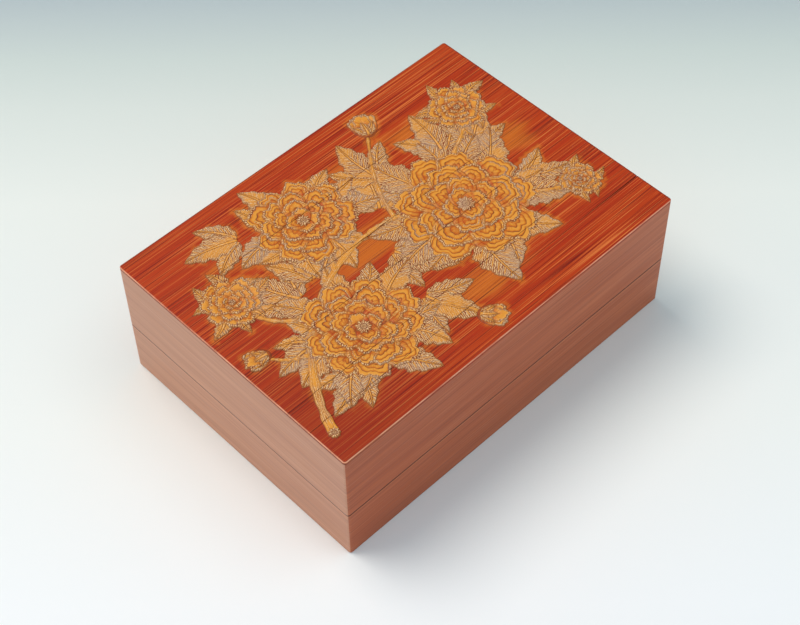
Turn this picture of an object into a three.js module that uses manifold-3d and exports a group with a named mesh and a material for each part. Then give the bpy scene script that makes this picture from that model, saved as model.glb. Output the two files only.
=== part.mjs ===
// A rectangular bamboo box with a deep lift-off lid.
// Thin bamboo is laid over a finger-jointed wooden carcass, and an inner lip on the base guides the lid.
// Millimetres. X runs along the long side, Y along the short side, Z up. Origin under the centre of the base.

import * as THREE from 'three';
import { mergeVertices } from 'three/addons/utils/BufferGeometryUtils.js';
import Module from 'manifold-3d';

const wasm = await Module();
wasm.setup();

// Outside of the closed box
const boxLength = 220;
const boxDepth = 158;
const baseHeight = 32.4;
const lidHeight = 44.3;
const cornerRadius = 1.5;

// Thicknesses
const facingThickness = 2;
const wallThickness = 5;
const bottomBoardThickness = 5;
const lidBoardThickness = 4.5;
const lipThickness = 2.4;
const topStripThickness = 1.6;

// How the pieces meet
const glueGap = 0.3;
const seamGap = 0.3;
const lipClearance = 0.3;
const lipRise = 7;
const rebateDepth = 2.6;
const fingerPitch = 6.2;

// Rounding of the edges that a hand meets
const topEdgeEase = 0.5;
const seamEdgeEase = 0.35;
const footEdgeEase = 0.6;
const lipEdgeEase = 0.7;
const hiddenEdgeEase = 0.05;

// Widths of the bamboo strips of the top, from the back. The last strip takes what is left
const topStripWidths = [37.7, 32.5, 22.2, 28.4, 14.5];

// The carving on the strips is a peony spray. Places are on the plan, from the centre of the box
const reliefHeight = 0.8;
const carvingMargin = 4;
const leafEdgeHeight = 0.28;
const leafRidgeHeight = 0.55;
const leafHalfWidth = 0.27;
const stemHeight = 0.6;
const bloomLeafFoot = 0.62;
const bloomLeafLength = 0.77;
const smallBloom = 20;
const heartShare = 0.12;

const blooms = [
  { x: 36, y: -10, radius: 36, turn: 12, leaves: 13 },
  { x: -52, y: -30, radius: 30, turn: 200, leaves: 11 },
  { x: -28, y: 38, radius: 27, turn: 95, leaves: 11 },
  { x: 80, y: 40, radius: 15.5, turn: 40, leaves: 8 },
  { x: -86, y: 24, radius: 15, turn: 150, leaves: 8 },
  { x: 88, y: -38, radius: 11, turn: -30, leaves: 6 },
];

const buds = [
  { x: 36, y: 61, radius: 10, turn: 70 },
  { x: -6, y: -65, radius: 9, turn: -50 },
  { x: -97, y: -10, radius: 8, turn: 170 },
];

// Three leaflets on one foot
const sprays = [
  { x: 2, y: 14, length: 34, turn: 62, bend: 3 },
  { x: 18, y: 30, length: 30, turn: 96, bend: -3 },
  { x: 52, y: 20, length: 30, turn: 74, bend: 3 },
  { x: 64, y: 16, length: 28, turn: 30, bend: 3 },
  { x: 66, y: -16, length: 26, turn: -28, bend: 3 },
  { x: -12, y: -4, length: 32, turn: -62, bend: 3 },
  { x: -4, y: -6, length: 28, turn: -14, bend: -3 },
  { x: -60, y: 0, length: 30, turn: 118, bend: -3 },
  { x: -50, y: 4, length: 30, turn: 68, bend: 3 },
  { x: -72, y: -22, length: 24, turn: 178, bend: 3 },
  { x: -70, y: -44, length: 26, turn: 214, bend: -3 },
  { x: -20, y: -34, length: 30, turn: -70, bend: 3 },
  { x: -56, y: 50, length: 28, turn: 160, bend: 3 },
];

// Each stem runs from its foot past two guides to its head, and tapers
const stems = [
  { foot: [-102, -64], guides: [[-94, -34], [-60, 8]], head: [-10, 10], footHalf: 2.3, headHalf: 1.3 },
  { foot: [-10, 10], guides: [[10, 10], [20, 2]], head: [34, -6], footHalf: 1.3, headHalf: 1.1 },
  { foot: [-75, -17], guides: [[-64, -14], [-56, -20]], head: [-52, -30], footHalf: 1.3, headHalf: 1 },
  { foot: [-38, 5], guides: [[-30, 18], [-28, 28]], head: [-28, 38], footHalf: 1.3, headHalf: 1 },
  { foot: [44, 10], guides: [[60, 24], [74, 22]], head: [80, 38], footHalf: 1.2, headHalf: 0.8 },
  { foot: [5, 8], guides: [[12, 34], [24, 44]], head: [36, 61], footHalf: 1.1, headHalf: 0.7 },
  { foot: [-64, -9], guides: [[-78, -4], [-86, 8]], head: [-86, 24], footHalf: 1.3, headHalf: 0.8 },
  { foot: [-82, -24], guides: [[-88, -22], [-93, -18]], head: [-97, -10], footHalf: 1.1, headHalf: 0.7 },
  { foot: [-30, -36], guides: [[-16, -42], [-10, -52]], head: [-6, -65], footHalf: 1.1, headHalf: 0.7 },
  { foot: [56, -22], guides: [[68, -30], [76, -36]], head: [88, -38], footHalf: 1.1, headHalf: 0.7 },
];

// Rings of petals, from the outside in: lengths are shares of the bloom's radius, heights of the relief
const petalRings = [
  { count: 9, away: 0.66, halfLength: 0.36, halfWidth: 0.31, low: 0.55, high: 0.8 },
  { count: 8, away: 0.47, halfLength: 0.31, halfWidth: 0.276, low: 0.6, high: 0.88 },
  { count: 6, away: 0.29, halfLength: 0.25, halfWidth: 0.23, low: 0.66, high: 0.94 },
  { count: 4, away: 0.13, halfLength: 0.19, halfWidth: 0.1725, low: 0.72, high: 1 },
];

// Smoothness of the rounded corners and of the eased edges
const cornerSteps = 5;
const easeSteps = 3;
const petalSteps = 7;
const leafSteps = 4;
const stemSteps = 8;

// Heights that follow from the sizes above
const seamTop = baseHeight + seamGap;
const groundTop = seamTop + lidHeight;
const topStripBottom = groundTop - topStripThickness;
const lidWallTop = topStripBottom - glueGap;
const lipTop = baseHeight + lipRise;

// Half sizes in plan, of the box and of what lies inside it
const outside = { x: boxLength / 2, y: boxDepth / 2 };
const facingInside = inset(outside, facingThickness);
const wallOutside = inset(facingInside, glueGap);
const wallInside = inset(wallOutside, wallThickness);
const boardEdge = inset(wallInside, -rebateDepth);
const lipOutside = inset(wallInside, lipClearance);
const lipInside = inset(lipOutside, lipThickness);

// Longer than any cut needs to be, so that a cutter passes right through
const cutOver = 2;

const carvedBamboo = new THREE.MeshStandardMaterial({ color: 0xb4461f, roughness: 0.5, metalness: 0 });
const plainBamboo = new THREE.MeshStandardMaterial({ color: 0x9c5a43, roughness: 0.42, metalness: 0 });
const carcassWood = new THREE.MeshStandardMaterial({ color: 0x8a5a3a, roughness: 0.65, metalness: 0 });
const lipWood = new THREE.MeshStandardMaterial({ color: 0x7a4630, roughness: 0.55, metalness: 0 });

function inset(half, amount) {
  return { x: half.x - amount, y: half.y - amount };
}

function toSolid(geometry) {
  const bare = geometry.clone();
  bare.deleteAttribute('normal');
  bare.deleteAttribute('uv');
  const merged = mergeVertices(bare);
  const vertProperties = Float32Array.from(merged.attributes.position.array);
  const triVerts = Uint32Array.from(merged.index.array);
  return new wasm.Manifold(new wasm.Mesh({ numProp: 3, vertProperties, triVerts }));
}

function toGeometry(solid) {
  const mesh = solid.getMesh();
  const geometry = new THREE.BufferGeometry();
  geometry.setAttribute('position', new THREE.BufferAttribute(mesh.vertProperties, 3));
  geometry.setIndex(new THREE.BufferAttribute(mesh.triVerts, 1));
  geometry.computeVertexNormals();
  return geometry;
}

// A block between two heights, given by its half sizes in plan
function plainBlock(half, bottom, top) {
  const geometry = new THREE.BoxGeometry(2 * half.x, 2 * half.y, top - bottom);
  geometry.translate(0, 0, (bottom + top) / 2);
  return toSolid(geometry);
}

// A rectangle with rounded corners, in plan, shrunk by shrink on every side
function roundedOutline(half, radius, shrink) {
  const arc = Math.max(radius - shrink, 0.1);
  const centre = inset(half, shrink + arc);
  const points = [];
  for (let corner = 0; corner < 4; corner += 1) {
    const signX = corner === 0 || corner === 3 ? 1 : -1;
    const signY = corner < 2 ? 1 : -1;
    for (let step = 0; step <= cornerSteps; step += 1) {
      const angle = (corner + step / cornerSteps) * (Math.PI / 2);
      const x = signX * centre.x + arc * Math.cos(angle);
      const y = signY * centre.y + arc * Math.sin(angle);
      points.push(new THREE.Vector2(x, y));
    }
  }
  return points;
}

// Heights and shrinks of the rings that round a block's lower and upper edge by quarter circles
function easedRings(bottom, top, footEase, headEase) {
  const rings = [];
  for (let step = 0; step <= easeSteps; step += 1) {
    const angle = (step / easeSteps) * (Math.PI / 2);
    rings.push({ z: bottom + footEase * (1 - Math.sin(angle)), shrink: footEase * (1 - Math.cos(angle)) });
  }
  rings.reverse();
  for (let step = 0; step <= easeSteps; step += 1) {
    const angle = (step / easeSteps) * (Math.PI / 2);
    rings.push({ z: top - headEase * (1 - Math.sin(angle)), shrink: headEase * (1 - Math.cos(angle)) });
  }
  return rings;
}

// A block with rounded corners in plan and eased edges above and below
function easedBlock(half, radius, bottom, top, footEase, headEase) {
  const rings = easedRings(bottom, top, footEase, headEase);
  const positions = [];
  const index = [];
  let count = 0;
  for (const ring of rings) {
    const outline = roundedOutline(half, radius, ring.shrink);
    count = outline.length;
    for (const point of outline) {
      positions.push(point.x, point.y, ring.z);
    }
  }
  for (let ring = 0; ring < rings.length - 1; ring += 1) {
    for (let i = 0; i < count; i += 1) {
      const a = ring * count + i;
      const b = ring * count + ((i + 1) % count);
      index.push(a, b, b + count, a, b + count, a + count);
    }
  }
  const foot = positions.length / 3;
  positions.push(0, 0, rings[0].z, 0, 0, rings[rings.length - 1].z);
  const lastRing = (rings.length - 1) * count;
  for (let i = 0; i < count; i += 1) {
    const next = (i + 1) % count;
    index.push(foot, next, i, foot + 1, lastRing + i, lastRing + next);
  }
  const geometry = new THREE.BufferGeometry();
  geometry.setAttribute('position', new THREE.Float32BufferAttribute(positions, 3));
  geometry.setIndex(index);
  return toSolid(geometry);
}

// The four sides, with the direction that each one faces
const sides = [
  { name: 'front', axis: 'y', sign: -1 },
  { name: 'back', axis: 'y', sign: 1 },
  { name: 'left', axis: 'x', sign: -1 },
  { name: 'right', axis: 'x', sign: 1 },
];

// The part of the plan that belongs to one side of a mitred ring, as a tall wedge
function mitreWedge(side, half, reach, bottom, top) {
  const along = side.axis === 'y' ? half.x : half.y;
  const across = side.axis === 'y' ? half.y : half.x;
  const mitreShift = glueGap * Math.SQRT1_2;
  const outer = across + cutOver;
  const inner = across - reach;
  const outerEnd = along + cutOver - mitreShift;
  const innerEnd = along - reach - mitreShift;
  const shape = new THREE.Shape();
  shape.moveTo(-outerEnd, -outer);
  shape.lineTo(outerEnd, -outer);
  shape.lineTo(innerEnd, -inner);
  shape.lineTo(-innerEnd, -inner);
  shape.closePath();
  const geometry = new THREE.ExtrudeGeometry(shape, { depth: top - bottom, bevelEnabled: false });
  geometry.translate(0, 0, bottom);
  geometry.rotateZ({ front: 0, right: Math.PI / 2, back: Math.PI, left: -Math.PI / 2 }[side.name]);
  return toSolid(geometry);
}

// One side of a ring of thin wood or bamboo that is mitred at its corners
function mitredSide(side, ring, half, thickness, bottom, top) {
  const wedge = mitreWedge(side, half, thickness + cutOver, bottom - cutOver, top + cutOver);
  return ring.intersect(wedge);
}

// The outline of a finger-jointed wall, seen square on. Long walls fill the even steps and short walls the odd
function fingerOutline(halfLength, bottom, top, fillsEven) {
  const steps = 2 * Math.max(1, Math.round((top - bottom) / fingerPitch / 2)) + 1;
  const pitch = (top - bottom) / steps;
  const notched = halfLength - wallThickness - glueGap;
  const edge = [];
  for (let step = 0; step < steps; step += 1) {
    const isFinger = (step % 2 === 0) === fillsEven;
    const trim = isFinger ? glueGap / 2 : -glueGap / 2;
    const reach = isFinger ? halfLength : notched;
    const low = step === 0 ? bottom : bottom + step * pitch + trim;
    const high = step === steps - 1 ? top : bottom + (step + 1) * pitch - trim;
    edge.push(new THREE.Vector2(reach, low), new THREE.Vector2(reach, high));
  }
  const mirrored = edge.map((point) => new THREE.Vector2(-point.x, point.y)).reverse();
  return new THREE.Shape([...edge, ...mirrored]);
}

// One wall of the carcass, standing on its long edge
function carcassWall(side, bottom, top) {
  const isLong = side.axis === 'y';
  const halfLength = isLong ? wallOutside.x : wallOutside.y;
  const outline = fingerOutline(halfLength, bottom, top, isLong);
  const geometry = new THREE.ExtrudeGeometry(outline, { depth: wallThickness, bevelEnabled: false });
  geometry.rotateX(Math.PI / 2);
  const outerFace = isLong ? wallOutside.y : wallOutside.x;
  geometry.translate(0, side.sign < 0 ? wallThickness - outerFace : outerFace, 0);
  if (!isLong) {
    geometry.rotateZ(-Math.PI / 2);
  }
  return toSolid(geometry);
}

const bodies = { base: new THREE.Group(), lid: new THREE.Group() };

function addPiece(body, name, solid, material) {
  const mesh = new THREE.Mesh(toGeometry(solid), material);
  mesh.name = name;
  bodies[body].add(mesh);
}

function addBase() {
  const board = plainBlock(boardEdge, 0, bottomBoardThickness);
  addPiece('base', 'base_bottom_board', board, carcassWood);

  const rebateEdge = inset(boardEdge, -glueGap);
  const rebate = plainBlock(rebateEdge, -cutOver, bottomBoardThickness + glueGap);
  const facingBlock = easedBlock(outside, cornerRadius, 0, baseHeight, footEdgeEase, seamEdgeEase);
  const facingRing = facingBlock.subtract(plainBlock(facingInside, -cutOver, baseHeight + cutOver));
  const lipBottom = bottomBoardThickness + glueGap;
  const lipBlock = easedBlock(lipOutside, lipEdgeEase, lipBottom, lipTop, hiddenEdgeEase, lipEdgeEase);
  const lipRing = lipBlock.subtract(plainBlock(lipInside, 0, lipTop + cutOver));

  for (const side of sides) {
    const wall = carcassWall(side, 0, baseHeight).subtract(rebate);
    const facing = mitredSide(side, facingRing, outside, facingThickness, 0, baseHeight);
    const lip = mitredSide(side, lipRing, lipOutside, lipThickness, lipBottom, lipTop);
    addPiece('base', `base_${side.name}_wall`, wall, carcassWood);
    addPiece('base', `base_${side.name}_facing`, facing, plainBamboo);
    addPiece('base', `base_${side.name}_lip`, lip, lipWood);
  }
}

function addLid() {
  const boardBottom = lidWallTop - lidBoardThickness;
  const board = plainBlock(boardEdge, boardBottom, lidWallTop);
  addPiece('lid', 'lid_top_board', board, carcassWood);

  const rebateEdge = inset(boardEdge, -glueGap);
  const rebate = plainBlock(rebateEdge, boardBottom - glueGap, lidWallTop + cutOver);
  const facingBlock = easedBlock(outside, cornerRadius, seamTop, lidWallTop, seamEdgeEase, hiddenEdgeEase);
  const facingRing = facingBlock.subtract(plainBlock(facingInside, 0, groundTop));

  for (const side of sides) {
    const wall = carcassWall(side, seamTop, lidWallTop).subtract(rebate);
    const facing = mitredSide(side, facingRing, outside, facingThickness, seamTop, lidWallTop);
    addPiece('lid', `lid_${side.name}_wall`, wall, carcassWood);
    addPiece('lid', `lid_${side.name}_facing`, facing, plainBamboo);
  }
}

// A small steady deviation, so that leaves and petals aren't all alike
function sway(seed, index) {
  return Math.sin(7.3 * seed + 2.39 * index);
}

function toRadians(degrees) {
  return (degrees * Math.PI) / 180;
}

// A hull over points of the carving, turned and set on the strips. Heights are shares of the relief's
function carvedHull(points, place, turn) {
  const solid = wasm.Manifold.hull(points.map(([x, y, height]) => [x, y, height * reliefHeight]));
  return solid.rotate([0, 0, turn]).translate([place.x, place.y, groundTop]);
}

// A petal slopes up from the heart of the bloom to its tip
function petal(place, turn, halfLength, halfWidth, low, high) {
  const points = [];
  for (let step = 0; step < petalSteps; step += 1) {
    const angle = ((step + 0.5) / petalSteps) * 2 * Math.PI;
    const x = halfLength * Math.cos(angle);
    const y = halfWidth * Math.sin(angle);
    points.push([x, y, -0.5], [x, y, low + ((high - low) * (x / halfLength + 1)) / 2]);
  }
  return carvedHull(points, place, turn);
}

// The heart of a bloom is a low boss
function heart(bloom) {
  const height = 1.5 * reliefHeight;
  const geometry = new THREE.CylinderGeometry(heartShare * bloom.radius, heartShare * bloom.radius, height, 7);
  geometry.rotateX(Math.PI / 2);
  geometry.translate(bloom.x, bloom.y, groundTop + reliefHeight - height / 2);
  return toSolid(geometry);
}

// A leaf has two slopes that meet in a ridge along its middle, and its tip bends to one side
function leaf(place, turn, length, bend) {
  const points = [];
  for (let step = 0; step <= leafSteps; step += 1) {
    const share = step / leafSteps;
    const x = share * length;
    const middle = bend * share * (2 * share - 1);
    const reach = leafHalfWidth * length * Math.sin(Math.PI * share ** 0.75) ** 0.8;
    const isEnd = step === 0 || step === leafSteps;
    const edges = isEnd ? [middle] : [middle - reach, middle + reach];
    for (const y of edges) {
      points.push([x, y, -0.5], [x, y, leafEdgeHeight]);
    }
    if (!isEnd) {
      points.push([x, middle, leafRidgeHeight]);
    }
  }
  return carvedHull(points, place, turn);
}

function offsetPlace(place, distance, turn) {
  const angle = toRadians(turn);
  return { x: place.x + distance * Math.cos(angle), y: place.y + distance * Math.sin(angle) };
}

// Whether a leaf's tip stays on the carved part of the top
function fitsOnTop(tip) {
  return Math.abs(tip.x) < outside.x - carvingMargin && Math.abs(tip.y) < outside.y - carvingMargin;
}

function bloomPieces(bloom, seed) {
  const pieces = [];
  for (let k = 0; k < bloom.leaves; k += 1) {
    const turn = bloom.turn + ((k + 0.25 + 0.25 * sway(seed, k)) / bloom.leaves) * 360;
    const length = bloom.radius * (bloomLeafLength + 0.14 * sway(seed + 1, k));
    const foot = offsetPlace(bloom, bloomLeafFoot * bloom.radius, turn);
    const lean = turn + 18 * sway(seed + 2, k);
    const bend = k % 2 === 0 ? 3 : -3;
    if (fitsOnTop(offsetPlace(foot, length, lean))) {
      pieces.push(leaf(foot, lean, length, bend));
    }
  }
  const rings = bloom.radius > smallBloom ? petalRings : [petalRings[0], petalRings[2]];
  rings.forEach((ring, level) => {
    for (let k = 0; k < ring.count; k += 1) {
      const turn = bloom.turn + 20 * level + (k / ring.count) * 360 + 5 * sway(seed + level, k);
      const size = bloom.radius * (1 + 0.1 * sway(seed + level + 3, k));
      const place = offsetPlace(bloom, ring.away * bloom.radius, turn);
      pieces.push(petal(place, turn, ring.halfLength * size, ring.halfWidth * size, ring.low, ring.high));
    }
  });
  pieces.push(heart(bloom));
  return pieces;
}

function budPieces(bud) {
  const pieces = [];
  for (const lean of [-32, 32, 0]) {
    const place = offsetPlace(bud, 0.35 * bud.radius, bud.turn + lean);
    pieces.push(petal(place, bud.turn + lean / 2, 0.85 * bud.radius, 0.5 * bud.radius, 0.6, 0.9));
  }
  for (const lean of [-36, 36, 0]) {
    const foot = offsetPlace(bud, -0.35 * bud.radius, bud.turn);
    pieces.push(leaf(foot, bud.turn + lean, 0.95 * bud.radius, 0));
  }
  return pieces;
}

function sprayPieces(spray) {
  return [{ lean: -42, size: 0.78 }, { lean: 40, size: 0.8 }, { lean: 0, size: 1 }].map(({ lean, size }) => {
    const foot = offsetPlace(spray, 0.12 * spray.length, spray.turn + 0.6 * lean);
    return leaf(foot, spray.turn + lean, size * spray.length, spray.bend);
  });
}

// A stem is a tapering band along a curve
function stemPiece(stem) {
  const corners = [stem.foot, ...stem.guides, stem.head].map(([x, y]) => new THREE.Vector2(x, y));
  const curve = new THREE.CubicBezierCurve(...corners);
  const left = [];
  const right = [];
  for (let step = 0; step <= stemSteps; step += 1) {
    const share = step / stemSteps;
    const point = curve.getPoint(share);
    const along = curve.getTangent(share);
    const half = stem.footHalf + (stem.headHalf - stem.footHalf) * share;
    left.push(new THREE.Vector2(point.x - half * along.y, point.y + half * along.x));
    right.push(new THREE.Vector2(point.x + half * along.y, point.y - half * along.x));
  }
  const outline = new THREE.Shape([...right, ...left.reverse()]);
  const depth = (0.5 + stemHeight) * reliefHeight;
  const geometry = new THREE.ExtrudeGeometry(outline, { depth, bevelEnabled: false });
  geometry.translate(0, 0, groundTop - 0.5 * reliefHeight);
  return toSolid(geometry);
}

function carving() {
  const pieces = [
    ...sprays.flatMap(sprayPieces),
    ...stems.map(stemPiece),
    ...buds.flatMap(budPieces),
    ...blooms.flatMap(bloomPieces),
  ];
  const field = plainBlock(inset(outside, carvingMargin), topStripBottom, groundTop + reliefHeight + cutOver);
  return wasm.Manifold.union(pieces).intersect(field);
}

// The strips lie side by side over the board and the side facings, and the box's own outline trims them
function addTopStrips() {
  const topPlate = easedBlock(outside, cornerRadius, topStripBottom, groundTop, hiddenEdgeEase, topEdgeEase);
  const carvedPlate = topPlate.add(carving());
  const laid = topStripWidths.reduce((sum, width) => sum + width, 0);
  const widths = [...topStripWidths, boxDepth - laid];
  let backEdge = outside.y;
  widths.forEach((width, i) => {
    const back = i === 0 ? backEdge + cutOver : backEdge - glueGap / 2;
    const isLast = i === widths.length - 1;
    const front = isLast ? backEdge - width - cutOver : backEdge - width + glueGap / 2;
    const cutter = new THREE.BoxGeometry(boxLength + 2 * cutOver, back - front, 4 * topStripThickness);
    cutter.translate(0, (back + front) / 2, groundTop);
    addPiece('lid', `top_strip_${i + 1}`, carvedPlate.intersect(toSolid(cutter)), carvedBamboo);
    backEdge -= width;
  });
}

addBase();
addLid();
addTopStrips();

const bambooBox = new THREE.Group();
bambooBox.add(bodies.base, bodies.lid);

export default bambooBox;
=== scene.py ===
import math
import bpy
import numpy as np
from mathutils import Matrix, Vector


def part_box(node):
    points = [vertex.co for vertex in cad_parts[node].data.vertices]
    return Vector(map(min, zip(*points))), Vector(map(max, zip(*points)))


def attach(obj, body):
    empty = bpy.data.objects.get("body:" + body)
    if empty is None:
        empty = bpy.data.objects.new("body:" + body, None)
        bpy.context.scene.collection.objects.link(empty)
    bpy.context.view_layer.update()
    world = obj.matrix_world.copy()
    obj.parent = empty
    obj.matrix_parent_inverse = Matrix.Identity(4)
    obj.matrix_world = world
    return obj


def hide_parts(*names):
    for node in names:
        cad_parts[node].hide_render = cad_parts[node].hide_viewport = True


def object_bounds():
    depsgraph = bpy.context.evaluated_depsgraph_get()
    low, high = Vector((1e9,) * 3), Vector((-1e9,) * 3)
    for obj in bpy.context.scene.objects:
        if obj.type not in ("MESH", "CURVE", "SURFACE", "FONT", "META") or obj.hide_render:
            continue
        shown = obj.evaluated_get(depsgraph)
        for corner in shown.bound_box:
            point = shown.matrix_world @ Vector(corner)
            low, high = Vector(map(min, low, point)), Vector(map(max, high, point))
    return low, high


# A carved bamboo box with a lift-off lid. Sizes in the dictionaries are in millimetres.

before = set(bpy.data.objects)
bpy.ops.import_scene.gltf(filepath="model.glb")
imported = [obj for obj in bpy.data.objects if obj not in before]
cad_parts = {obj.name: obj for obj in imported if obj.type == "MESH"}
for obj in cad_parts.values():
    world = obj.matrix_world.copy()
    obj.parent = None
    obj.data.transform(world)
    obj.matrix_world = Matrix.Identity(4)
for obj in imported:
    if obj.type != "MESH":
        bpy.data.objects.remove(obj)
cadLow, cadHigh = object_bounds()
print("frame: the box's solids are in")

mm = 0.001
stripCount = 6
sideNames = ("front", "back", "left", "right")
halfLength = cadHigh[0] / mm
halfDepth = cadHigh[1] / mm
boxHeight = cadHigh[2] / mm


def colour(red, green, blue):  # picture values from 0 to 255, turned to linear light
    values = []
    for value in (red, green, blue):
        value = value / 255
        values.append(value / 12.92 if value <= 0.04045 else ((value + 0.055) / 1.055) ** 2.4)
    return (*values, 1.0)


def smoothStep(low, high, value):
    t = np.clip((value - low) / (high - low), 0.0, 1.0)
    return t * t * (3 - 2 * t)


latticeSize = 64             # cells of the noise before it repeats


def smoothNoise(x, y, cellX, cellY, seed):  # soft blotches from 0 to 1, cellX by cellY in size
    lattice = np.random.default_rng(seed).random((latticeSize, latticeSize))
    shift = 10 * latticeSize + 0.5
    u = x / cellX + shift
    v = y / cellY + shift
    column = np.floor(u).astype(int)
    row = np.floor(v).astype(int)
    shareX = u - column
    shareY = v - row
    shareX = shareX * shareX * (3 - 2 * shareX)
    shareY = shareY * shareY * (3 - 2 * shareY)
    left = column % latticeSize
    right = (column + 1) % latticeSize
    low = row % latticeSize
    high = (row + 1) % latticeSize
    near = lattice[low, left] * (1 - shareX) + lattice[low, right] * shareX
    far = lattice[high, left] * (1 - shareX) + lattice[high, right] * shareX
    return near * (1 - shareY) + far * shareY


# The camera stands high off the near left corner, as in the picture.
cameraLook = {
    "azimuth": -43.35,
    "elevation": 51.71,
    "roll": -1.10,
    "distance": 875.7,
    "aim": 38.5,             # height of the point that it turns about
    "drop": 14.9,            # how far the view is lowered
    "focalLength": 78.68,
    "sensorWidth": 36.0,
    "nearest": 20.0,         # what is closer or further isn't drawn
    "furthest": 20000.0,
}


def makeCamera():
    look = cameraLook
    azimuth = math.radians(look["azimuth"])
    elevation = math.radians(look["elevation"])
    roll = math.radians(look["roll"])
    level = math.cos(elevation)
    back = Vector((math.sin(azimuth) * level, -math.cos(azimuth) * level, math.sin(elevation)))
    right = Vector((0, 0, 1)).cross(back).normalized()
    up = back.cross(right)
    turnedRight = math.cos(roll) * right + math.sin(roll) * up
    turnedUp = -math.sin(roll) * right + math.cos(roll) * up
    middle = Vector((0, 0, look["aim"] * mm))
    place = middle + back * look["distance"] * mm - turnedUp * look["drop"] * mm
    data = bpy.data.cameras.new("camera")
    data.sensor_width = look["sensorWidth"]
    data.lens = look["focalLength"]
    data.clip_start = look["nearest"] * mm
    data.clip_end = look["furthest"] * mm
    holder = bpy.data.objects.new("camera", data)
    axes = Matrix((turnedRight, turnedUp, back)).transposed()
    holder.matrix_world = Matrix.Translation(place) @ axes.to_4x4()
    bpy.context.scene.collection.objects.link(holder)
    bpy.context.scene.camera = holder


makeCamera()
print("camera: placed")


def newMaterial(name):
    material = bpy.data.materials.new(name)
    material.use_nodes = True
    return material, material.node_tree, material.node_tree.nodes["Principled BSDF"]


def addNode(tree, kind, settings, **inputs):  # an input's label has _ for a space, or is n and its number
    node = tree.nodes.new(kind)
    for key, value in settings.items():
        setattr(node, key, value)
    for label, value in inputs.items():
        key = label.replace("_", " ")
        if label[0] == "n" and label[1:].isdigit():
            key = int(label[1:])
        if isinstance(value, bpy.types.NodeSocket):
            tree.links.new(value, node.inputs[key])
        else:
            node.inputs[key].default_value = value
    return node


def calc(tree, operation, *values):
    inputs = {f"n{number}": value for number, value in enumerate(values)}
    return addNode(tree, "ShaderNodeMath", {"operation": operation}, **inputs).outputs[0]


def times(tree, first, second):
    return calc(tree, "MULTIPLY", first, second)


def plus(tree, first, second):
    return calc(tree, "ADD", first, second)


def remap(tree, value, low, high, toLow=0.0, toHigh=1.0):
    settings = {"interpolation_type": "SMOOTHSTEP"}
    node = addNode(tree, "ShaderNodeMapRange", settings, Value=value, From_Min=low, From_Max=high)
    node.inputs["To Min"].default_value = toLow
    node.inputs["To Max"].default_value = toHigh
    return node.outputs[0]


def blend(tree, share, first, second):  # the first colour where share is 0, the second where it is 1
    node = addNode(tree, "ShaderNodeMix", {"data_type": "RGBA"}, n0=share, n6=first, n7=second)
    return node.outputs[2]


def noise(tree, place, stretch, detail=3.0, roughness=0.55, distortion=0.0):
    moved = addNode(tree, "ShaderNodeMapping", {}, Vector=place, Scale=stretch).outputs[0]
    inputs = {"Scale": 1.0, "Detail": detail, "Roughness": roughness, "Distortion": distortion}
    return addNode(tree, "ShaderNodeTexNoise", {}, Vector=moved, **inputs).outputs[0]


def ramp(tree, value, stops):  # stops: list of (place, colour)
    node = tree.nodes.new("ShaderNodeValToRGB")
    tree.links.new(value, node.inputs[0])
    band = node.color_ramp
    while len(band.elements) < len(stops):
        band.elements.new(0.5)
    for element, (place, tone) in zip(band.elements, stops):
        element.position = place
        element.color = tone
    return node.outputs[0]


def readField(tree, name):
    return addNode(tree, "ShaderNodeAttribute", {"attribute_name": name}).outputs["Fac"]


def bump(tree, height, depth):  # depth in millimetres
    return addNode(tree, "ShaderNodeBump", {}, Height=height, Strength=1.0, Distance=depth * mm).outputs[0]


def objectPlace(tree):
    return tree.nodes.new("ShaderNodeTexCoord").outputs["Object"]


# The pale floor turns bluish grey away from the camera, and rises to a backdrop all round.
floorLook = {
    "rings": (150.0, 400.0, 800.0, 1200.0, 1500.0),
    "rimRadius": 900.0,
    "rimSteps": 12,
    "around": 96,
    "tones": [               # along the view from under the box, and the floor's colour there
        (-160, colour(249, 247, 246)),
        (-56, colour(244, 243, 238)),
        (24, colour(238, 238, 233)),
        (91, colour(236, 236, 229)),
        (165, colour(220, 223, 216)),
        (206, colour(206, 212, 206)),
        (262, colour(181, 189, 191)),
    ],
    "drop": 0.05,            # keeps the floor clear of the box's underside
    "roughness": 0.9,
    "gloss": 0.1,
}


def makeFloor():
    look = floorLook
    profile = [(reach, 0.0) for reach in look["rings"]]
    for step in range(1, look["rimSteps"] + 1):
        angle = step / look["rimSteps"] * math.pi / 2
        reach = look["rings"][-1] + look["rimRadius"] * math.sin(angle)
        profile.append((reach, look["rimRadius"] * (1 - math.cos(angle))))
    around = look["around"]
    points = [(0.0, 0.0, -look["drop"] * mm)]
    for reach, height in profile:
        for k in range(around):
            angle = 2 * math.pi * k / around
            x = reach * mm * math.cos(angle)
            y = reach * mm * math.sin(angle)
            points.append((x, y, (height - look["drop"]) * mm))
    faces = [(0, 1 + k, 1 + (k + 1) % around) for k in range(around)]
    for ring in range(len(profile) - 1):
        first = 1 + ring * around
        for k in range(around):
            after = (k + 1) % around
            faces.append((first + k, first + around + k, first + around + after, first + after))
    mesh = bpy.data.meshes.new("floor")
    mesh.from_pydata(points, [], faces)
    mesh.polygons.foreach_set("use_smooth", [True] * len(mesh.polygons))
    floor = bpy.data.objects.new("floor", mesh)
    bpy.context.scene.collection.objects.link(floor)
    mesh.materials.append(makeFloorMaterial())


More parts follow.
